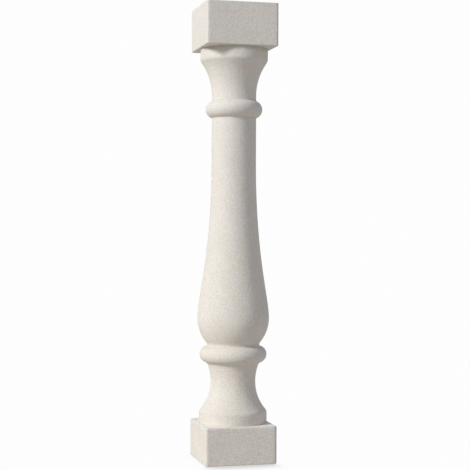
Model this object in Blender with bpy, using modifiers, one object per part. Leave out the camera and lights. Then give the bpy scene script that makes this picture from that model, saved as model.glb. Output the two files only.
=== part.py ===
"""Stone baluster, cast in one piece: a square plinth, a turned body and a square abacus.

Metres, +Z up. The origin is the middle of the underside, and the sides of the two square
blocks face along X and Y. The mouldings stand on each other, so each one's place follows
from the heights of those below it, and the whole height is the sum of them all.
"""

import math
from itertools import accumulate

import bmesh
import bpy

# Plinth, the square block at the foot: its size, and how far each kind of arris is rounded
PLINTH_SIDE = 0.1200
PLINTH_HEIGHT = 0.0624
PLINTH_CORNER = 0.0050
PLINTH_TOP_ARRIS = 0.0032
PLINTH_FOOT_ARRIS = 0.0020

# Abacus, the square block at the head, with crisper arrises
ABACUS_SIDE = 0.1200
ABACUS_HEIGHT = 0.0704
ABACUS_CORNER = 0.0040
ABACUS_TOP_ARRIS = 0.0012
ABACUS_FOOT_ARRIS = 0.0018

# Round band that stands on the plinth
FOOT_BAND_RADIUS = 0.0562
FOOT_BAND_HEIGHT = 0.0192

# Foot neck: the scotia curves in to it from the band, and the flare curves out to the torus
FOOT_NECK_RADIUS = 0.0372
FOOT_SCOTIA_RISE = 0.0484
FOOT_FLARE_RISE = 0.0313
FOOT_FLARE_RADIUS = 0.0434

# Half-round torus between the foot neck and the belly
TORUS_RADIUS = 0.0557
TORUS_HEIGHT = 0.0280

# Belly: it springs from inside the torus and curves out to its greatest radius
BELLY_SPRING_RADIUS = 0.0398
BELLY_RADIUS = 0.0595
BELLY_RISE = 0.0458

# Long taper from the belly into the shaft. Each pull is how far it goes on nearly upright.
TAPER_RISE = 0.2606
TAPER_BELLY_PULL = 0.0352
TAPER_SHAFT_PULL = 0.1560

# Straight shaft, and the half-round astragal round its head
SHAFT_RADIUS = 0.0369
SHAFT_RISE = 0.0703
ASTRAGAL_RADIUS = 0.0471
ASTRAGAL_HEIGHT = 0.0280

# Head: a short neck as wide as the shaft, the cavetto, and the round band under the abacus
HEAD_NECK_RISE = 0.0090
HEAD_CAVETTO_RISE = 0.0568
HEAD_BAND_RADIUS = 0.0560
HEAD_BAND_HEIGHT = 0.0198

# Rounding of the arris between a round band and the hollow beside it
BAND_ARRIS = 0.0030

# How far the turned body runs into each block, so that the three are one solid
BLOCK_OVERLAP = 0.0100

# Facets: sides of the turned body, and steps along each part of its profile
ROUND_STEPS = 64
HOLLOW_STEPS = 8
FLARE_STEPS = 5
ROLL_STEPS = 4
BELLY_STEPS = 7
TAPER_STEPS = 12
BAND_ARRIS_STEPS = 3
BLOCK_ARRIS_STEPS = 3
MERGE_DISTANCE = 0.00001
SHARP_ANGLE = math.radians(28)

STONE_COLOUR = (0.70, 0.66, 0.61, 1.0)
STONE_ROUGHNESS = 0.92


def moulding_levels():
    """Height above the underside at which each stretch of the profile ends."""
    rises = {
        "plinth_top": PLINTH_HEIGHT,
        "foot_rim": FOOT_BAND_HEIGHT,
        "foot_neck": FOOT_SCOTIA_RISE,
        "torus_low": FOOT_FLARE_RISE,
        "torus_middle": TORUS_HEIGHT / 2,
        "torus_high": TORUS_HEIGHT / 2,
        "belly": BELLY_RISE,
        "taper_high": TAPER_RISE,
        "astragal_low": SHAFT_RISE,
        "astragal_middle": ASTRAGAL_HEIGHT / 2,
        "astragal_high": ASTRAGAL_HEIGHT / 2,
        "head_neck": HEAD_NECK_RISE,
        "head_rim": HEAD_CAVETTO_RISE,
        "abacus_underside": HEAD_BAND_HEIGHT,
    }
    return dict(zip(rises, accumulate(rises.values())))


def arc(upright, end, steps, short_by=0.0):
    """Arc that leaves the first point straight up or down and curves to the second one.

    Points are (radius, height). The arc can stop short of its second point by a length.
    """
    reach, rise = end[0] - upright[0], end[1] - upright[1]
    bend = (reach * reach + rise * rise) / (2 * abs(reach))
    turn = math.atan2(abs(rise), bend - abs(reach)) - short_by / bend
    out, up = math.copysign(bend, reach), math.copysign(bend, rise)
    turns = [turn * i / steps for i in range(steps + 1)]
    return [(upright[0] + out * (1 - math.cos(t)), upright[1] + up * math.sin(t)) for t in turns]


def bezier(controls, steps):
    """Points on the Bezier curve with these control points."""
    degree = len(controls) - 1
    points = []
    for i in range(steps + 1):
        t = i / steps
        weights = [math.comb(degree, k) * t**k * (1 - t) ** (degree - k) for k in range(degree + 1)]
        points.append(tuple(sum(w * c[axis] for w, c in zip(weights, controls)) for axis in (0, 1)))
    return points


def hollow_to_band(neck, rim):
    """From a neck along its hollow, over the rounded arris, to the wall of a round band."""
    hollow = arc(neck, rim, HOLLOW_STEPS, BAND_ARRIS)
    wall = (rim[0], rim[1] + math.copysign(BAND_ARRIS, rim[1] - neck[1]))
    return hollow + bezier([hollow[-1], rim, wall], BAND_ARRIS_STEPS)[1:]


def roll(low, middle, high):
    """A torus or an astragal, from its lower crease over its greatest radius to its upper one."""
    return arc(middle, low, ROLL_STEPS)[::-1] + arc(middle, high, ROLL_STEPS)[1:]


def taper(low, high):
    """From the belly's greatest radius to the shaft, upright at both ends."""
    leave = (low[0], low[1] + TAPER_BELLY_PULL)
    arrive = (high[0], high[1] - TAPER_SHAFT_PULL)
    return bezier([low, leave, arrive, high], TAPER_STEPS)


def turned_profile(z):
    """(radius, height) points of the turned body, from inside the plinth to inside the abacus."""
    foot_neck = (FOOT_NECK_RADIUS, z["foot_neck"])
    flare_end = (FOOT_FLARE_RADIUS, z["torus_low"])
    torus = (TORUS_RADIUS, z["torus_middle"])
    belly_spring = (BELLY_SPRING_RADIUS, z["torus_high"])
    belly = (BELLY_RADIUS, z["belly"])
    shaft_low = (SHAFT_RADIUS, z["taper_high"])
    shaft_high = (SHAFT_RADIUS, z["astragal_low"])
    astragal = (ASTRAGAL_RADIUS, z["astragal_middle"])
    neck_low = (SHAFT_RADIUS, z["astragal_high"])
    head_neck = (SHAFT_RADIUS, z["head_neck"])
    foot = z["plinth_top"] - BLOCK_OVERLAP
    head = z["abacus_underside"] + BLOCK_OVERLAP
    points = [(0.0, foot), (FOOT_BAND_RADIUS, foot)]
    points += hollow_to_band(foot_neck, (FOOT_BAND_RADIUS, z["foot_rim"]))[::-1]
    points += arc(foot_neck, flare_end, FLARE_STEPS)[1:]
    points += roll(flare_end, torus, belly_spring)[1:]
    points += arc(belly, belly_spring, BELLY_STEPS)[-2::-1]
    points += taper(belly, shaft_low)[1:]
    points += roll(shaft_high, astragal, neck_low)
    points += hollow_to_band(head_neck, (HEAD_BAND_RADIUS, z["head_rim"]))
    points += [(HEAD_BAND_RADIUS, head), (0.0, head)]
    return points


def clear_scene():
    for obj in list(bpy.data.objects):
        bpy.data.objects.remove(obj, do_unlink=True)


def new_collection(name):
    collection = bpy.data.collections.new(name)
    bpy.context.scene.collection.children.link(collection)
    return collection


def new_object(name, shape, collection):
    """An object in the collection that holds the bmesh, which is freed."""
    mesh = bpy.data.meshes.new(name)
    shape.to_mesh(mesh)
    shape.free()
    obj = bpy.data.objects.new(name, mesh)
    collection.objects.link(obj)
    return obj


def turned_body(name, points, collection):
    """The profile, drawn from head to foot at +X, spun about the Z axis."""
    shape = bmesh.new()
    line = [shape.verts.new((radius, 0.0, height)) for radius, height in reversed(points)]
    for upper, lower in zip(line, line[1:]):
        shape.edges.new((upper, lower))
    body = new_object(name, shape, collection)
    screw = body.modifiers.new("turn", "SCREW")
    screw.axis = "Z"
    screw.angle = 2 * math.pi
    screw.steps = screw.render_steps = ROUND_STEPS
    screw.use_merge_vertices = True
    screw.merge_threshold = MERGE_DISTANCE
    return body


def square_block(name, side, height, base, corner, top_arris, foot_arris, collection):
    """A square block with rounded arrises: the upright ones, those of its top and of its foot."""
    shape = bmesh.new()
    bmesh.ops.create_cube(shape, size=1.0)
    bmesh.ops.scale(shape, vec=(side, side, height), verts=shape.verts)
    bmesh.ops.translate(shape, vec=(0.0, 0.0, height / 2), verts=shape.verts)
    widest = max(corner, top_arris, foot_arris)
    weight = shape.edges.layers.float.new("bevel_weight_edge")
    for edge in shape.edges:
        verts_at_top = sum(vert.co.z > height / 2 for vert in edge.verts)
        edge[weight] = (foot_arris, corner, top_arris)[verts_at_top] / widest
    block = new_object(name, shape, collection)
    block.location.z = base
    bevel = block.modifiers.new("arrises", "BEVEL")
    bevel.limit_method = "WEIGHT"
    bevel.width = widest
    bevel.segments = BLOCK_ARRIS_STEPS
    block.hide_render = True
    block.display_type = "WIRE"
    return block


def fuse(body, blocks):
    """Makes the body and the blocks one solid, as in the one casting."""
    for block in blocks:
        union = body.modifiers.new("with " + block.name, "BOOLEAN")
        union.operation = "UNION"
        union.solver = "EXACT"
        union.object = block
    graph = bpy.context.evaluated_depsgraph_get()
    mesh = bpy.data.meshes.new_from_object(body.evaluated_get(graph))
    body.modifiers.clear()
    body.data = mesh
    mesh.shade_smooth()
    mesh.set_sharp_from_angle(angle=SHARP_ANGLE)
    for block in blocks:
        bpy.data.objects.remove(block, do_unlink=True)


def cast_stone():
    material = bpy.data.materials.new("cast_stone")
    material.use_nodes = True
    shader = material.node_tree.nodes["Principled BSDF"]
    shader.inputs["Base Color"].default_value = STONE_COLOUR
    shader.inputs["Roughness"].default_value = STONE_ROUGHNESS
    shader.inputs["Metallic"].default_value = 0.0
    return material


def build():
    clear_scene()
    parts = new_collection("stone_baluster")
    helpers = new_collection("blocks")
    z = moulding_levels()
    baluster = turned_body("baluster", turned_profile(z), parts)
    plinth = square_block(
        "plinth", PLINTH_SIDE, PLINTH_HEIGHT, 0.0,
        PLINTH_CORNER, PLINTH_TOP_ARRIS, PLINTH_FOOT_ARRIS, helpers,
    )
    abacus = square_block(
        "abacus", ABACUS_SIDE, ABACUS_HEIGHT, z["abacus_underside"],
        ABACUS_CORNER, ABACUS_TOP_ARRIS, ABACUS_FOOT_ARRIS, helpers,
    )
    fuse(baluster, [plinth, abacus])
    bpy.data.collections.remove(helpers)
    baluster.data.materials.clear()
    baluster.data.materials.append(cast_stone())


build()
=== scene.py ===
"""Looks of the stone baluster: one cast piece with a worn, sandy surface, in a white studio.

Metres, +Z up. The mouldings have the same sizes as in the solid that the piece stands for.
The casting is one closed skin of rings: square ones round the blocks, round ones between them.
"""

import math
import random
from itertools import accumulate

import bmesh
import bpy
import numpy as np
from mathutils import Matrix, Vector, kdtree, noise


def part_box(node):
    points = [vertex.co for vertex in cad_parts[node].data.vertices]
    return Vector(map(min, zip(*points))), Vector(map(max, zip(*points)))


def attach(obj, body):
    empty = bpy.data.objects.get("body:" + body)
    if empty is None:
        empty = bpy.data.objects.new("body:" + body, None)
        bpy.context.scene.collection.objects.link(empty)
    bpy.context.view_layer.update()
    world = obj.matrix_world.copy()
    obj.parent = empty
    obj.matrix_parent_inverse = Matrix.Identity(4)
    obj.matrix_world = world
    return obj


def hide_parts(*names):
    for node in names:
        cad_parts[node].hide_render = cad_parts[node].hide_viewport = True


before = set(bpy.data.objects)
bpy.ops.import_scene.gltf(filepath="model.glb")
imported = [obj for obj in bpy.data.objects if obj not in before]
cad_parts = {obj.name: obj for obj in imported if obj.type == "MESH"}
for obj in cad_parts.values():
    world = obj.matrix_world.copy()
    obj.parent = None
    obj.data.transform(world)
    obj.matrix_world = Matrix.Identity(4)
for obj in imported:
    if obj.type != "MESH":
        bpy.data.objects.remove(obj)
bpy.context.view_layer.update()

NODE = "baluster"
BODY = "root"

# Square blocks: how high the plinth is, and how far each kind of arris is rounded
PLINTH_HEIGHT = 0.0624
PLINTH_CORNER = 0.0050
PLINTH_TOP_ARRIS = 0.0032
PLINTH_FOOT_ARRIS = 0.0020
ABACUS_CORNER = 0.0040
ABACUS_TOP_ARRIS = 0.0012
ABACUS_FOOT_ARRIS = 0.0018

# Mouldings of the turned body, from the foot up
FOOT_BAND_RADIUS = 0.0562
FOOT_BAND_HEIGHT = 0.0192
FOOT_NECK_RADIUS = 0.0372
FOOT_SCOTIA_RISE = 0.0484
FOOT_FLARE_RISE = 0.0313
FOOT_FLARE_RADIUS = 0.0434
TORUS_RADIUS = 0.0557
TORUS_HEIGHT = 0.0280
BELLY_SPRING_RADIUS = 0.0398
BELLY_RADIUS = 0.0595
BELLY_RISE = 0.0458
TAPER_RISE = 0.2606
TAPER_BELLY_PULL = 0.0352
TAPER_SHAFT_PULL = 0.1560
SHAFT_RADIUS = 0.0369
SHAFT_RISE = 0.0703
ASTRAGAL_RADIUS = 0.0471
ASTRAGAL_HEIGHT = 0.0280
HEAD_NECK_RISE = 0.0090
HEAD_CAVETTO_RISE = 0.0568
HEAD_BAND_RADIUS = 0.0560
HEAD_BAND_HEIGHT = 0.0198
BAND_ARRIS = 0.0030

# Small fillet left by the mould where a round band meets a block
BAND_FILLET = 0.0008

# How far each crease beside a roll is filled out into a small hollow
TORUS_LOW_EASE = 0.0040
TORUS_HIGH_EASE = 0.0095
ASTRAGAL_EASE = 0.0014

# Points round a ring: each quarter is a half side, a corner and a half side
HALF_SIDE_STEPS = 16
CORNER_STEPS = 8
RING_POINTS = 4 * (2 * HALF_SIDE_STEPS + CORNER_STEPS)

# Rows of the skin: their distance at most and at least, and how far the profile turns between two
ROW = 0.0030
FINEST_ROW = 0.0005
ROW_TURN = math.radians(6)

# Rows across a flat end, over its arris, from a block's side to the band, and in the band's fillet
FLAT_ROWS = 10
ARRIS_ROWS = 6
SHOULDER_ROWS = 20
SHOULDER_CROWDING = 1.25
FILLET_ROWS = 3

# Points on each curve and along the eased profile, and how far its creases are softened
CURVE_STEPS = 60
LINE_SPACING = 0.00025
CREASE_SOFTNESS = 0.0008
SOFTNESS_CUTOFF = 4

# Unevenness of the cast surface: depth and size of each wave
WAVES = ((0.00022, 0.038), (0.00007, 0.010))
SEED = 5

# Pits and knocks: how many, their radius, and their depth as a share of it. Knocks are where the
# surface bends by more than so much in 1/m. Round each spot the skin is cut finer, and the waver
# makes its outline uneven.
PITS = 80
PIT_RADIUS = (0.0006, 0.0015)
PIT_DEPTH = 0.32
KNOCKS = 22
KNOCK_RADIUS = (0.0010, 0.0026)
KNOCK_DEPTH = 0.22
KNOCK_BEND = 90.0
SPOT_CUTS = 3
SPOT_WAVER = 0.35

# Wear: the name it is stored by, the curvature in 1/m that counts as full, and how far it spreads.
# Below 0.5 it marks the hollows that are given painted shade.
WEAR = "wear"
FULL_WEAR_BEND = 320.0
WEAR_SPREAD = 2

# Stone: its colour low and high on the part, and the heights between which it changes
STONE_AT_FOOT = (0.763, 0.712, 0.650, 1.0)
STONE_AT_HEAD = (0.722, 0.688, 0.645, 1.0)
WARM_FOOT_HEIGHTS = (0.10, 0.62)

# Soft patterns in the stone. A pattern rises from none to full over this range of its noise.
PATTERN_ROUGHNESS = 0.55
MOTTLE_SIZE = 0.045
MOTTLE_DETAIL = 3.0
MOTTLE_RISE = (0.35, 0.65)
MOTTLE_SHARE = 0.6
MOTTLE_TINT = (0.945, 0.940, 0.930, 1.0)
BLUSH_SIZE = 0.018
BLUSH_RISE = (0.45, 0.70)
BLUSH_SHARE = 0.5
BLUSH_TINT = (1.0, 0.955, 0.925, 1.0)

# Grain: its strength at the foot and at the head, and the tints of the sand and of the grit
GRAIN_SHARES = (0.9, 0.7)
GRAIN_RISE = (0.3, 0.7)
SAND_SIZE = 0.0011
SAND_DARK = (0.84, 0.835, 0.83, 1.0)
SAND_PALE = (1.14, 1.145, 1.15, 1.0)
GRIT_SIZE = 0.0032
GRIT_DETAIL = 1.0
GRIT_DARK = (0.935, 0.93, 0.925, 1.0)
GRIT_PALE = (1.06, 1.065, 1.07, 1.0)

# Specks: how much of one is solid, then the size of a cell and of its speck, the share of cells
# with one, its strength and its colour
SPECK_CORE = 0.5
DARK_SPECK_CELL = 0.0046
DARK_SPECK_SIZE = 0.0008
DARK_SPECK_SHARE = 0.35
DARK_SPECK_STRENGTH = 0.5
DARK_SPECK = (0.30, 0.265, 0.225, 1.0)
PALE_SPECK_CELL = 0.0035
PALE_SPECK_SIZE = 0.0008
PALE_SPECK_SHARE = 0.4
PALE_SPECK_STRENGTH = 0.6
PALE_SPECK = (0.88, 0.865, 0.84, 1.0)

# Creases and arrises: the stored wear at which each tint begins and is full, and the tints. The crease
# tint is painted shade, the arris tint is wear.
CREASE_SHADE_WEAR = (0.42, 0.15)
CREASE_SHADE_SHARE = 0.45
CREASE_SHADE_TINT = (0.66, 0.62, 0.56, 1.0)
ARRIS_WEAR = (0.5, 1.0)
WORN_SHARE = 0.3
WORN_STONE = (0.72, 0.69, 0.63, 1.0)

# Dust and painted light from above on level tops: the Z part of the surface's normal where it sets in
# and where it is full
DUST_AND_TOP_LIGHT_SLOPES = (0.965, 0.995)
DUST_AND_TOP_LIGHT_SHARE = 1.0
DUST_AND_TOP_LIGHT = (0.92, 0.875, 0.80, 1.0)

# Painted shade on the band under the abacus, where its shadow falls: how far below the abacus it
# starts and is full, how far above the underside it ends, and the Z part of the normal where it sets
# in and where it is full
ABACUS_SHADE_START = 0.0086
ABACUS_SHADE_FULL = 0.0016
ABACUS_SHADE_END_ABOVE = 0.0010
ABACUS_SHADE_SLOPES = (-0.9, -0.5)
ABACUS_SHADE_TINT = (0.82, 0.80, 0.76, 1.0)

# Surface: roughness in the low and the high spots of the sand, and the bump of the grain
STONE_ROUGHNESS = (0.97, 0.88)
STONE_SPECULAR = 0.3
SAND_RELIEF = 0.5
RELIEF_DEPTH = 0.00022
RELIEF_STRENGTH = 0.8

# Camera, with its heading from +Y towards +X
CAMERA_PLACE = (-0.5113, -2.0564, 0.3834)
CAMERA_HEADING = math.radians(14.031)
CAMERA_DIP = math.radians(0.2977)
CAMERA_ROLL = math.radians(0.2323)
CAMERA_LENS = 97.84
CAMERA_SENSOR = 36.0

# Softbox: its heading from -Y towards -X, how high it stands, its size, and its light at the part
SOFTBOX_HEADING = math.radians(69.5)
SOFTBOX_ELEVATION = math.radians(29)
SOFTBOX_DISTANCE = 8.0
SOFTBOX_WIDTH = 1.6
SOFTBOX_HEIGHT = 2.0
SOFTBOX_LIGHT = 2.71
SOFTBOX_COLOUR = (1.0, 0.998, 0.966)

# Soft light from the room, by the direction that it comes from, and the white behind the part
FILL_BELOW = (0.46, 0.43, 0.38, 1.0)
FILL_BESIDE = (0.49, 0.485, 0.485, 1.0)
FILL_ABOVE = (0.22, 0.28, 0.37, 1.0)
BACKDROP = (0.985, 0.985, 0.985, 1.0)

# Floor, and the shade close to the plinth. It grows to full towards the front over one range of Y,
# fades beside the plinth over a range of X, and keeps a small share elsewhere.
FLOOR_SIDE = 12.0
CONTACT_SHADE = (0.22, 0.22, 0.22, 1.0)
CONTACT_SHADE_REACH = 0.045
CONTACT_SHADE_SAMPLES = 16
FRONT_OF_PLINTH = (-0.058, -0.062)
BESIDE_PLINTH = (0.056, 0.068)
SHARE_BESIDE = 0.12

# Sockets of a colour mix node by their number, because several share a name
MIX_SHARE, MIX_FIRST, MIX_SECOND, MIX_RESULT = 0, 6, 7, 2


def moulding_levels():
    """Height above the underside at which each stretch of the profile ends."""
    rises = {
        "plinth_top": PLINTH_HEIGHT,
        "foot_rim": FOOT_BAND_HEIGHT,
        "foot_neck": FOOT_SCOTIA_RISE,
        "torus_low": FOOT_FLARE_RISE,
        "torus_middle": TORUS_HEIGHT / 2,
        "torus_high": TORUS_HEIGHT / 2,
        "belly": BELLY_RISE,
        "taper_high": TAPER_RISE,
        "astragal_low": SHAFT_RISE,
        "astragal_middle": ASTRAGAL_HEIGHT / 2,
        "astragal_high": ASTRAGAL_HEIGHT / 2,
        "head_neck": HEAD_NECK_RISE,
        "head_rim": HEAD_CAVETTO_RISE,
        "abacus_underside": HEAD_BAND_HEIGHT,
    }
    return dict(zip(rises, accumulate(rises.values())))


def arc(upright, end, short_by=0.0):
    """Arc of (radius, height) points that leaves the first one straight up or down."""
    reach, rise = end[0] - upright[0], end[1] - upright[1]
    bend = (reach * reach + rise * rise) / (2 * abs(reach))
    turn = math.atan2(abs(rise), bend - abs(reach)) - short_by / bend
    turns = np.linspace(0.0, turn, CURVE_STEPS)
    radius = upright[0] + math.copysign(bend, reach) * (1 - np.cos(turns))
    height = upright[1] + math.copysign(bend, rise) * np.sin(turns)
    return list(zip(radius, height))


def bezier(controls):
    """Points on the Bezier curve with these control points."""
    degree = len(controls) - 1
    t = np.linspace(0.0, 1.0, CURVE_STEPS)[:, None]
    line = sum(
        math.comb(degree, k) * t**k * (1 - t) ** (degree - k) * np.array(control)
        for k, control in enumerate(controls)
    )
    return [tuple(point) for point in line]


def hollow_to_band(neck, rim):
    """From a neck along its hollow, over the rounded arris, to the wall of a round band."""
    hollow = arc(neck, rim, BAND_ARRIS)
    wall = (rim[0], rim[1] + math.copysign(BAND_ARRIS, rim[1] - neck[1]))
    return hollow + bezier([hollow[-1], rim, wall])


def roll(low, middle, high):
    """A torus or an astragal, from its lower crease over its greatest radius to its upper one."""
    return arc(middle, low)[::-1] + arc(middle, high)


def filled_crease(before, after, ease):
    """Two stretches that meet in a crease, with a small hollow in its place."""
    before, after = np.array(before), np.array(after)
    down, on = lengths_along(before[::-1]), lengths_along(after)
    kept_before, kept_after = before[::-1][down > ease][::-1], after[on > ease]
    leave = read_along(before[::-1], down, [ease])[0]
    arrive = read_along(after, on, [ease])[0]
    hollow = bezier([leave, before[-1], arrive])
    return [tuple(p) for p in kept_before] + hollow + [tuple(p) for p in kept_after]


def taper(low, high):
    """From the belly's greatest radius to the shaft, upright at both ends."""
    leave = (low[0], low[1] + TAPER_BELLY_PULL)
    arrive = (high[0], high[1] - TAPER_SHAFT_PULL)
    return bezier([low, leave, arrive, high])


def turned_profile(z):
    """(radius, height) points of the turned body from the plinth's top to the abacus."""
    foot_neck = (FOOT_NECK_RADIUS, z["foot_neck"])
    flare_end = (FOOT_FLARE_RADIUS, z["torus_low"])
    torus = (TORUS_RADIUS, z["torus_middle"])
    belly_spring = (BELLY_SPRING_RADIUS, z["torus_high"])
    belly = (BELLY_RADIUS, z["belly"])
    shaft_low = (SHAFT_RADIUS, z["taper_high"])
    shaft_high = (SHAFT_RADIUS, z["astragal_low"])
    astragal = (ASTRAGAL_RADIUS, z["astragal_middle"])
    neck_low = (SHAFT_RADIUS, z["astragal_high"])
    head_neck = (SHAFT_RADIUS, z["head_neck"])
    points = [(FOOT_BAND_RADIUS, z["plinth_top"] + BAND_FILLET)]
    points += hollow_to_band(foot_neck, (FOOT_BAND_RADIUS, z["foot_rim"]))[::-1]
    points += arc(foot_neck, flare_end)
    points = filled_crease(points, roll(flare_end, torus, belly_spring), TORUS_LOW_EASE)
    body = arc(belly, belly_spring)[::-1] + taper(belly, shaft_low)
    points = filled_crease(points, body, TORUS_HIGH_EASE)
    points.append(shaft_high)
    points = filled_crease(points, roll(shaft_high, astragal, neck_low), ASTRAGAL_EASE)
    head = hollow_to_band(head_neck, (HEAD_BAND_RADIUS, z["head_rim"]))
    points = filled_crease(points, [neck_low] + head, ASTRAGAL_EASE)
    points.append((HEAD_BAND_RADIUS, z["abacus_underside"] - BAND_FILLET))
    return np.array(points)


def lengths_along(line):
    """Distance of each point from the line's start, measured along the line."""
    steps = np.linalg.norm(np.diff(line, axis=0), axis=1)
    return np.concatenate([[0.0], np.cumsum(steps)])


def read_along(line, along, places):
    """The line's points at these distances from its start."""
    return np.stack([np.interp(places, along, line[:, axis]) for axis in range(line.shape[1])], axis=1)


def soft_line(points):
    """The profile with its creases and arrises eased, as points a constant distance apart."""
    along = lengths_along(points)
    count = round(along[-1] / LINE_SPACING)
    line = read_along(points, along, np.linspace(0.0, along[-1], count + 1))
    reach = round(SOFTNESS_CUTOFF * CREASE_SOFTNESS / LINE_SPACING)
    offsets = np.arange(-reach, reach + 1) * LINE_SPACING
    weights = np.exp(-0.5 * (offsets / CREASE_SOFTNESS) ** 2)
    weights /= weights.sum()
    before = 2 * line[0] - line[reach:0:-1]
    after = 2 * line[-1] - line[-2 : -reach - 2 : -1]
    padded = np.concatenate([before, line, after])
    return np.stack([np.convolve(padded[:, axis], weights, "valid") for axis in (0, 1)], axis=1)


def profile_rows(line):
    """Rows of the turned body: close together where the profile bends, further apart elsewhere."""
    tangent = np.gradient(line, axis=0)
    heading = np.unwrap(np.arctan2(tangent[:, 1], tangent[:, 0]))
    along = lengths_along(line)
    bend = np.abs(np.gradient(heading, along))
    row = np.clip(ROW_TURN / np.maximum(bend, 1e-6), FINEST_ROW, ROW)
    rows_passed = np.concatenate([[0.0], np.cumsum(np.diff(along) / row[1:])])
    count = math.ceil(rows_passed[-1])
    places = np.interp(np.linspace(0.0, rows_passed[-1], count + 1), rows_passed, along)
    return read_along(line, along, places)


def square_ring(half, corner):
    """A square with rounded corners, anticlockwise from the middle of its +X side."""
    side = np.linspace(0.0, half - corner, HALF_SIDE_STEPS + 1)
    turn = np.linspace(0.0, math.pi / 2, CORNER_STEPS + 1)[1:]
    middle = half - corner
    quarter = [(half, along) for along in side]
    quarter += [(middle + corner * math.cos(t), middle + corner * math.sin(t)) for t in turn]
    quarter += [(along, half) for along in side[-2:0:-1]]
    quarter = np.array(quarter)
    quarters = [quarter]
    for _ in range(3):
        last = quarters[-1]
        quarters.append(np.stack([-last[:, 1], last[:, 0]], axis=1))
    return np.concatenate(quarters)


def round_ring(radius):
    turn = np.linspace(0.0, 2 * math.pi, RING_POINTS, endpoint=False)
    return radius * np.stack([np.cos(turn), np.sin(turn)], axis=1)


def at_height(ring, height):
    """The flat ring as 3-D points; the height is one number or one for each point."""
    return np.column_stack([ring, np.broadcast_to(height, len(ring))])


def depth_inside(ring, half, corner):
    """How far each point is inside the edge of the square with rounded corners."""
    beyond = np.abs(ring) - (half - corner)
    outside = np.linalg.norm(np.maximum(beyond, 0.0), axis=1)
    inside = np.minimum(beyond.max(axis=1), 0.0)
    return corner - outside - inside


def arris_drop(depth, arris):
    """How far the rounded arris lies below its flat face, at this depth inside the edge."""
    short = np.clip(arris - depth, 0.0, arris)
    return arris - np.sqrt(arris * arris - short * short)


def arris_rings(half, corner, arris, face, outward):
    """Rings of a rounded arris, from the block's upright side to its flat face, or back.

    The face looks up where outward is 1 and down where it is -1.
    """
    rings = []
    for turn in np.linspace(0.0, math.pi / 2, ARRIS_ROWS + 1):
        depth = arris * (1 - math.cos(turn))
        height = face - outward * arris * (1 - math.sin(turn))
        rings.append(at_height(square_ring(half - depth, corner - depth), height))
    return rings


def shoulder_rings(half, corner, arris, face, outward, band_radius):
    """Rings from a block's upright side, over its arris and flat face, to the band's fillet."""
    edge = square_ring(half, corner)
    band = round_ring(band_radius + BAND_FILLET)
    shares = np.linspace(0.0, 1.0, CURVE_STEPS) ** 2
    flats = [edge + share * (band - edge) for share in shares]
    drops = [arris_drop(depth_inside(flat, half, corner), arris) for flat in flats]
    lowered = [at_height(flat, face - outward * drop) for flat, drop in zip(flats, drops)]
    paths = np.stack(lowered, axis=1)
    rows = np.linspace(0.0, 1.0, SHOULDER_ROWS + 1) ** SHOULDER_CROWDING
    points = []
    for path in paths:
        along = lengths_along(path)
        points.append(read_along(path, along, rows * along[-1]))
    return list(np.stack(points, axis=1))


def fillet_rings(band_radius, shoulder, outward):
    """Rings of the fillet between the shoulder's last ring and the band's wall."""
    rings = []
    for turn in np.linspace(0.0, math.pi / 2, FILLET_ROWS + 1)[1:-1]:
        radius = band_radius + BAND_FILLET * (1 - math.sin(turn))
        height = shoulder[:, 2] + outward * BAND_FILLET * (1 - math.cos(turn))
        rings.append(at_height(round_ring(radius), height))
    return rings


def face_rings(edge_ring, height):
    """Flat rings from near the middle of a face to its edge."""
    shares = np.linspace(0.0, 1.0, FLAT_ROWS + 1)[1:-1]
    return [at_height(share * edge_ring[:, :2], height) for share in shares]


def side_rings(half, corner, low, high):
    """Rings up a block's upright sides, between its arrises."""
    ring = square_ring(half, corner)
    rows = math.ceil((high - low) / ROW)
    return [at_height(ring, height) for height in np.linspace(low, high, rows + 1)[1:-1]]


def casting_rings(half, top):
    """All rings of the casting, from the middle of its underside to the middle of its top."""
    z = moulding_levels()
    foot = arris_rings(half, PLINTH_CORNER, PLINTH_FOOT_ARRIS, 0.0, -1)[::-1]
    plinth_top = z["plinth_top"]
    shoulder = shoulder_rings(half, PLINTH_CORNER, PLINTH_TOP_ARRIS, plinth_top, 1, FOOT_BAND_RADIUS)
    rings = face_rings(foot[0], 0.0) + foot
    rings += side_rings(half, PLINTH_CORNER, PLINTH_FOOT_ARRIS, plinth_top - PLINTH_TOP_ARRIS)
    rings += shoulder
    rings += fillet_rings(FOOT_BAND_RADIUS, shoulder[-1], 1)
    for radius, height in profile_rows(soft_line(turned_profile(z))):
        rings.append(at_height(round_ring(radius), height))
    underside = z["abacus_underside"]
    bearing = shoulder_rings(half, ABACUS_CORNER, ABACUS_FOOT_ARRIS, underside, -1, HEAD_BAND_RADIUS)
    rings += fillet_rings(HEAD_BAND_RADIUS, bearing[-1], -1)[::-1]
    rings += bearing[::-1]
    rings += side_rings(half, ABACUS_CORNER, underside + ABACUS_FOOT_ARRIS, top - ABACUS_TOP_ARRIS)
    head = arris_rings(half, ABACUS_CORNER, ABACUS_TOP_ARRIS, top, 1)
    rings += head
    rings += face_rings(head[-1], top)[::-1]
    return rings


def skin_of_rings(rings, top):
    """A closed skin over the rings, with one point in the middle of the underside and of the top."""
    shape = bmesh.new()
    rows = [[shape.verts.new(point) for point in ring] for ring in rings]
    for lower, upper in zip(rows, rows[1:]):
        for i in range(RING_POINTS):
            j = (i + 1) % RING_POINTS
            shape.faces.new((lower[i], lower[j], upper[j], upper[i]))
    foot = shape.verts.new((0.0, 0.0, 0.0))
    head = shape.verts.new((0.0, 0.0, top))
    for i in range(RING_POINTS):
        j = (i + 1) % RING_POINTS
        shape.faces.new((foot, rows[0][j], rows[0][i]))
        shape.faces.new((head, rows[-1][i], rows[-1][j]))
    shape.normal_update()
    return shape


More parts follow.
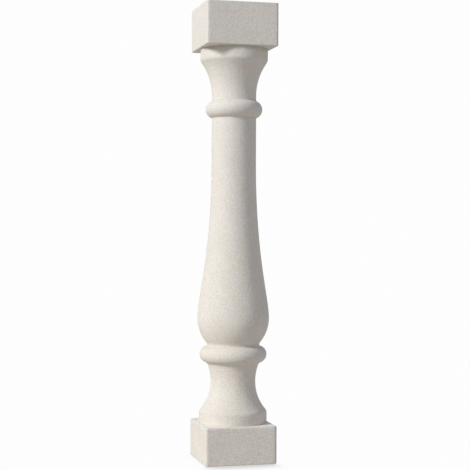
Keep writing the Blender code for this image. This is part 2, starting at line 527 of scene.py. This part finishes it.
def roughen(shape):
    """Sinks the surface by shallow waves, apart from the flat underside."""
    moves = []
    for vert in shape.verts:
        if vert.co.z <= 0.0:
            continue
        depth = sum(deep * (0.5 + 0.5 * noise.noise(vert.co / size)) for deep, size in WAVES)
        moves.append((vert, vert.normal * -depth))
    for vert, move in moves:
        vert.co += move
    shape.normal_update()


def curvature(vert):
    """Mean curvature at the point, in 1/m: above 0 on an arris, below 0 in a hollow."""
    area = sum(face.calc_area() / len(face.verts) for face in vert.link_faces)
    bend = sum(edge.calc_face_angle_signed(0.0) * edge.calc_length() for edge in vert.link_edges)
    return bend / (4 * area)


def sink_spots(shape, spots):
    """Small round hollows, each at a place with a direction, a radius and a depth."""
    faces = list(shape.faces)
    near_face = kdtree.KDTree(len(faces))
    for index, face in enumerate(faces):
        near_face.insert(face.calc_center_median(), index)
    near_face.balance()
    edges = set()
    for place, _, radius, _ in spots:
        for _, index, _ in near_face.find_range(place, radius + ROW):
            edges.update(faces[index].edges)
    bmesh.ops.subdivide_edges(
        shape, edges=sorted(edges, key=lambda edge: edge.index), cuts=SPOT_CUTS, use_grid_fill=True
    )
    many_sided = [face for face in shape.faces if len(face.verts) > 4]
    bmesh.ops.triangulate(shape, faces=many_sided)
    verts = list(shape.verts)
    near_vert = kdtree.KDTree(len(verts))
    for index, vert in enumerate(verts):
        near_vert.insert(vert.co, index)
    near_vert.balance()
    for place, normal, radius, depth in spots:
        for _, index, distance in near_vert.find_range(place, radius * (1 + SPOT_WAVER)):
            vert = verts[index]
            waver = 1 + SPOT_WAVER * noise.noise(vert.co / radius)
            share = max(0.0, 1 - (distance / (radius * waver)) ** 2)
            vert.co -= normal * depth * share * share
    shape.normal_update()


def casting_faults(shape, rng):
    """Pits left by air in the mould, anywhere, and knocks on the arrises."""
    faces = [face for face in shape.faces if face.calc_center_median().z > PLINTH_FOOT_ARRIS]
    spots = []
    for face in rng.choices(faces, weights=[face.calc_area() for face in faces], k=PITS):
        radius = rng.uniform(*PIT_RADIUS)
        spots.append((face.calc_center_median(), face.normal.copy(), radius, radius * PIT_DEPTH))
    above_foot = [vert for vert in shape.verts if vert.co.z > PLINTH_FOOT_ARRIS]
    arris = [vert for vert in above_foot if curvature(vert) > KNOCK_BEND]
    for vert in rng.choices(arris, k=KNOCKS):
        radius = rng.uniform(*KNOCK_RADIUS)
        spots.append((vert.co.copy(), vert.normal.copy(), radius, radius * KNOCK_DEPTH))
    sink_spots(shape, spots)


def mark_wear(shape):
    """Stores how much each point is worn, above 0.5, or lies in a hollow, below 0.5."""
    bends = [min(1.0, max(-1.0, curvature(vert) / FULL_WEAR_BEND)) for vert in shape.verts]
    shape.verts.index_update()
    beside = [[edge.other_vert(vert).index for edge in vert.link_edges] for vert in shape.verts]
    for _ in range(WEAR_SPREAD):
        means = [sum(bends[other] for other in others) / len(others) for others in beside]
        bends = [0.5 * bend + 0.5 * mean for bend, mean in zip(bends, means)]
    layer = shape.verts.layers.float.new(WEAR)
    for vert in shape.verts:
        vert[layer] = 0.5 + 0.5 * bends[vert.index]


def casting(name, half, top):
    rng = random.Random(SEED)
    shape = skin_of_rings(casting_rings(half, top), top)
    roughen(shape)
    casting_faults(shape, rng)
    mark_wear(shape)
    mesh = bpy.data.meshes.new(name)
    shape.to_mesh(mesh)
    shape.free()
    mesh.shade_smooth()
    piece = bpy.data.objects.new(name, mesh)
    bpy.context.scene.collection.objects.link(piece)
    return piece


def add_node(tree, kind, inputs=None, **settings):
    """Adds a node, sets it up, and gives each input a value or another node's output."""
    node = tree.nodes.new(kind)
    for name, value in settings.items():
        setattr(node, name, value)
    for key, value in (inputs or {}).items():
        if isinstance(value, bpy.types.NodeSocket):
            tree.links.new(value, node.inputs[key])
        else:
            node.inputs[key].default_value = value
    return node


def blotches(tree, place, size, detail=2.0):
    """Soft random pattern from 0 to 1 with features of this size."""
    settings = {"Vector": place, "Scale": 1 / size, "Detail": detail, "Roughness": PATTERN_ROUGHNESS}
    return add_node(tree, "ShaderNodeTexNoise", settings).outputs["Fac"]


def between(tree, value, low, high, new_low=0.0, new_high=1.0):
    """The value moved from one range to another, and kept inside it."""
    spread = {"Value": value, "From Min": low, "From Max": high, "To Min": new_low, "To Max": new_high}
    return add_node(tree, "ShaderNodeMapRange", spread).outputs["Result"]


def mixed(tree, share, first, second, blend="MIX"):
    """The first colour blended with this share of the second one."""
    colours = {MIX_SHARE: share, MIX_FIRST: first, MIX_SECOND: second}
    mix = add_node(tree, "ShaderNodeMix", colours, data_type="RGBA", blend_type=blend)
    return mix.outputs[MIX_RESULT]


def worked_out(tree, operation, first, second=0.0):
    """The result of a sum or another operation on the two values."""
    return add_node(tree, "ShaderNodeMath", {0: first, 1: second}, operation=operation).outputs[0]


def times(tree, first, second):
    return worked_out(tree, "MULTIPLY", first, second)


def specks(tree, place, cell, size, share):
    """1 inside sparse round specks and 0 elsewhere: this share of the cells holds a speck."""
    cells = add_node(tree, "ShaderNodeTexVoronoi", {"Vector": place, "Scale": 1 / cell})
    dot = between(tree, cells.outputs["Distance"], size / cell, SPECK_CORE * size / cell)
    tint = add_node(tree, "ShaderNodeSeparateColor", {"Color": cells.outputs["Color"]})
    return times(tree, dot, worked_out(tree, "LESS_THAN", tint.outputs["Red"], share))


def mottled(tree, place, upward):
    """The stone's colour: warmer at the foot, with faint mottling and a blush."""
    ground = mixed(tree, upward, STONE_AT_FOOT, STONE_AT_HEAD)
    mottle = blotches(tree, place, MOTTLE_SIZE, MOTTLE_DETAIL)
    mottle = between(tree, mottle, *MOTTLE_RISE, 0.0, MOTTLE_SHARE)
    ground = mixed(tree, mottle, ground, MOTTLE_TINT, "MULTIPLY")
    blush = between(tree, blotches(tree, place, BLUSH_SIZE), *BLUSH_RISE, 0.0, BLUSH_SHARE)
    return mixed(tree, blush, ground, BLUSH_TINT, "MULTIPLY")


def grained(tree, ground, upward, sand, grit):
    """Sandy grain and coarser grit, stronger at the foot than at the head."""
    grain = between(tree, upward, 0.0, 1.0, *GRAIN_SHARES)
    ground = mixed(tree, grain, ground, mixed(tree, sand, SAND_DARK, SAND_PALE), "MULTIPLY")
    return mixed(tree, grain, ground, mixed(tree, grit, GRIT_DARK, GRIT_PALE), "MULTIPLY")


def specked(tree, ground, dark, pale):
    ground = mixed(tree, times(tree, dark, DARK_SPECK_STRENGTH), ground, DARK_SPECK)
    return mixed(tree, times(tree, pale, PALE_SPECK_STRENGTH), ground, PALE_SPECK)


def worn_and_crease_shaded(tree, ground):
    """Painted shade in the creases, and paler worn arrises."""
    wear = add_node(tree, "ShaderNodeAttribute", attribute_name=WEAR).outputs["Fac"]
    # painted shade darkens the creases
    hollow = between(tree, wear, *CREASE_SHADE_WEAR, 0.0, CREASE_SHADE_SHARE)
    ground = mixed(tree, hollow, ground, CREASE_SHADE_TINT, "MULTIPLY")
    return mixed(tree, between(tree, wear, *ARRIS_WEAR, 0.0, WORN_SHARE), ground, WORN_STONE)


def pale_tops_and_abacus_shade(tree, ground, height):
    """Pale dust and painted light from above on what is nearly level, and painted shade on the band
    under the abacus.
    """
    facing = add_node(tree, "ShaderNodeNewGeometry").outputs["Normal"]
    level = add_node(tree, "ShaderNodeSeparateXYZ", {0: facing}).outputs["Z"]
    # dust and painted light from above make the level tops paler
    ground = mixed(tree, between(tree, level, *DUST_AND_TOP_LIGHT_SLOPES, 0.0, DUST_AND_TOP_LIGHT_SHARE), ground, DUST_AND_TOP_LIGHT)
    underside = moulding_levels()["abacus_underside"]
    # painted shade on the band just under the abacus
    below = between(tree, height, underside - ABACUS_SHADE_START, underside - ABACUS_SHADE_FULL)
    above = between(tree, height, underside, underside + ABACUS_SHADE_END_ABOVE, 1.0, 0.0)
    abacus_shade = times(tree, times(tree, below, between(tree, level, *ABACUS_SHADE_SLOPES)), above)
    return mixed(tree, abacus_shade, ground, ABACUS_SHADE_TINT, "MULTIPLY")


def stone_bump(tree, sand, grit, dark):
    """Normals of the grain, with the dark specks as small holes."""
    relief = worked_out(tree, "ADD", times(tree, sand, SAND_RELIEF), grit)
    relief = worked_out(tree, "SUBTRACT", relief, dark)
    settings = {"Height": relief, "Distance": RELIEF_DEPTH, "Strength": RELIEF_STRENGTH}
    return add_node(tree, "ShaderNodeBump", settings).outputs["Normal"]


def cast_stone():
    """Cream cast stone: sandy grain, faint mottling, specks, wear, painted shade in creases and under
    the abacus, and dust with painted light on level tops.
    """
    material = bpy.data.materials.new("cast_stone_surface")
    material.use_nodes = True
    tree = material.node_tree
    shader = tree.nodes["Principled BSDF"]
    place = add_node(tree, "ShaderNodeTexCoord").outputs["Object"]
    height = add_node(tree, "ShaderNodeSeparateXYZ", {0: place}).outputs["Z"]
    upward = between(tree, height, *WARM_FOOT_HEIGHTS)
    sand = between(tree, blotches(tree, place, SAND_SIZE), *GRAIN_RISE)
    grit = between(tree, blotches(tree, place, GRIT_SIZE, GRIT_DETAIL), *GRAIN_RISE)
    dark = specks(tree, place, DARK_SPECK_CELL, DARK_SPECK_SIZE, DARK_SPECK_SHARE)
    pale = specks(tree, place, PALE_SPECK_CELL, PALE_SPECK_SIZE, PALE_SPECK_SHARE)

    ground = mottled(tree, place, upward)
    ground = grained(tree, ground, upward, sand, grit)
    ground = specked(tree, ground, dark, pale)
    ground = pale_tops_and_abacus_shade(tree, worn_and_crease_shaded(tree, ground), height)
    tree.links.new(ground, shader.inputs["Base Color"])
    tree.links.new(between(tree, sand, 0.0, 1.0, *STONE_ROUGHNESS), shader.inputs["Roughness"])
    shader.inputs["Specular IOR Level"].default_value = STONE_SPECULAR
    tree.links.new(stone_bump(tree, sand, grit, dark), shader.inputs["Normal"])
    return material


def camera():
    data = bpy.data.cameras.new("camera")
    data.lens = CAMERA_LENS
    data.sensor_width = CAMERA_SENSOR
    view = bpy.data.objects.new("camera", data)
    view.matrix_world = (
        Matrix.Translation(CAMERA_PLACE)
        @ Matrix.Rotation(-CAMERA_HEADING, 4, "Z")
        @ Matrix.Rotation(math.pi / 2 - CAMERA_DIP, 4, "X")
        @ Matrix.Rotation(CAMERA_ROLL, 4, "Z")
    )
    bpy.context.scene.collection.objects.link(view)
    bpy.context.scene.camera = view


def softbox(aim):
    """A softbox to the left of the part, facing the middle of it."""
    data = bpy.data.lights.new("softbox", "AREA")
    data.shape = "RECTANGLE"
    data.size = SOFTBOX_WIDTH
    data.size_y = SOFTBOX_HEIGHT
    data.energy = SOFTBOX_LIGHT * math.pi * SOFTBOX_DISTANCE**2
    data.color = SOFTBOX_COLOUR
    light = bpy.data.objects.new("softbox", data)
    level = math.cos(SOFTBOX_ELEVATION)
    left, front = math.sin(SOFTBOX_HEADING) * level, math.cos(SOFTBOX_HEADING) * level
    towards = Vector((-left, -front, math.sin(SOFTBOX_ELEVATION)))
    light.location = aim + towards * SOFTBOX_DISTANCE
    light.rotation_euler = towards.to_track_quat("Z", "Y").to_euler()
    light.visible_camera = False
    bpy.context.scene.collection.objects.link(light)


def studio_world():
    """Soft light from all round, weakest from above, and a white backdrop behind the part."""
    world = bpy.data.worlds.new("studio")
    bpy.context.scene.world = world
    world.use_nodes = True
    tree = world.node_tree
    tree.nodes.clear()
    direction = add_node(tree, "ShaderNodeTexCoord").outputs["Generated"]
    height = add_node(tree, "ShaderNodeSeparateXYZ", {0: direction}).outputs["Z"]
    share = add_node(tree, "ShaderNodeMapRange", {"Value": height, "From Min": -1.0, "From Max": 1.0})
    ramp = add_node(tree, "ShaderNodeValToRGB", {"Fac": share.outputs["Result"]})
    stops = ramp.color_ramp.elements
    stops[0].color = FILL_BELOW
    stops[1].color = FILL_ABOVE
    stops.new(0.5).color = FILL_BESIDE
    fill = add_node(tree, "ShaderNodeBackground", {"Color": ramp.outputs["Color"]})
    backdrop = add_node(tree, "ShaderNodeBackground", {"Color": BACKDROP})
    seen = add_node(tree, "ShaderNodeLightPath").outputs["Is Camera Ray"]
    mix = add_node(tree, "ShaderNodeMixShader", {0: seen, 1: fill.outputs[0], 2: backdrop.outputs[0]})
    add_node(tree, "ShaderNodeOutputWorld", {"Surface": mix.outputs[0]})


def floor_white():
    """White that shines by itself, shaded close in front of the plinth and a little beside it."""
    material = bpy.data.materials.new("floor_white")
    material.use_nodes = True
    tree = material.node_tree
    tree.nodes.clear()
    place = add_node(tree, "ShaderNodeTexCoord").outputs["Object"]
    place = add_node(tree, "ShaderNodeSeparateXYZ", {0: place})
    aside = worked_out(tree, "ABSOLUTE", place.outputs["X"])
    front = between(tree, place.outputs["Y"], *FRONT_OF_PLINTH, SHARE_BESIDE, 1.0)
    share = times(tree, front, between(tree, aside, *BESIDE_PLINTH, 1.0, SHARE_BESIDE))
    openness = add_node(
        tree, "ShaderNodeAmbientOcclusion",
        {"Distance": CONTACT_SHADE_REACH}, samples=CONTACT_SHADE_SAMPLES,
    )
    shut = worked_out(tree, "SUBTRACT", 1.0, openness.outputs["AO"])
    white = mixed(tree, times(tree, shut, share), BACKDROP, CONTACT_SHADE)
    glow = add_node(tree, "ShaderNodeEmission", {"Color": white})
    add_node(tree, "ShaderNodeOutputMaterial", {"Surface": glow.outputs[0]})
    return material


def floor():
    shape = bmesh.new()
    bmesh.ops.create_grid(shape, size=FLOOR_SIDE / 2)
    mesh = bpy.data.meshes.new("floor")
    shape.to_mesh(mesh)
    shape.free()
    plane = bpy.data.objects.new("floor", mesh)
    plane.data.materials.append(floor_white())
    plane.visible_diffuse = False
    bpy.context.scene.collection.objects.link(plane)


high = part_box(NODE)[1]
piece = casting("cast_baluster", high[0], high[2])
piece.data.materials.append(cast_stone())
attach(piece, BODY)
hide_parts(NODE)

camera()
softbox(Vector((0.0, 0.0, high[2] / 2)))
studio_world()
floor()
bpy.context.scene.view_settings.view_transform = "Standard"
